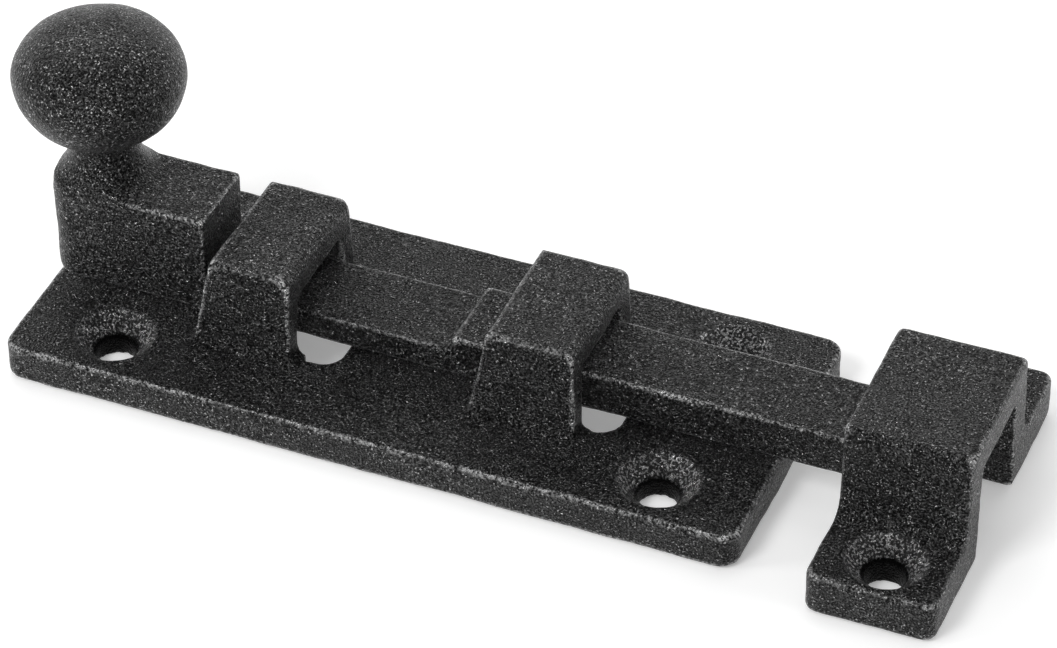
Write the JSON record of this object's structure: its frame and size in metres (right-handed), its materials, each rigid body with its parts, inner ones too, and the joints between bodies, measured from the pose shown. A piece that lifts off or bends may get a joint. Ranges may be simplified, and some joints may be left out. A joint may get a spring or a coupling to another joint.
{
  "type": "barrel bolt",
  "caption": "Cast-iron knob bolt: a flat bolt slides through two bridges on a backplate into a separate strap keeper.",
  "frame": {"origin": "centre of the backplate's mounting face", "axes": "+X the way the bolt is thrown, +Y across the plate, +Z out of the door towards the knob"},
  "size_m": [0.1343, 0.0484, 0.044],
  "materials": {
    "cast_black": "black antique, sand-cast grain"
  },
  "bodies": {
    "fixed_castings": {"backplate": "cast_black", "keeper": "cast_black"},
    "bolt": {"knob_bolt": "cast_black"}
  },
  "joints": [
    {"name": "bolt_slide", "type": "slide", "parent": "fixed_castings", "child": "bolt", "axis": [1, 0, 0], "range_m": [-0.021, 0.0003]}
  ]
}
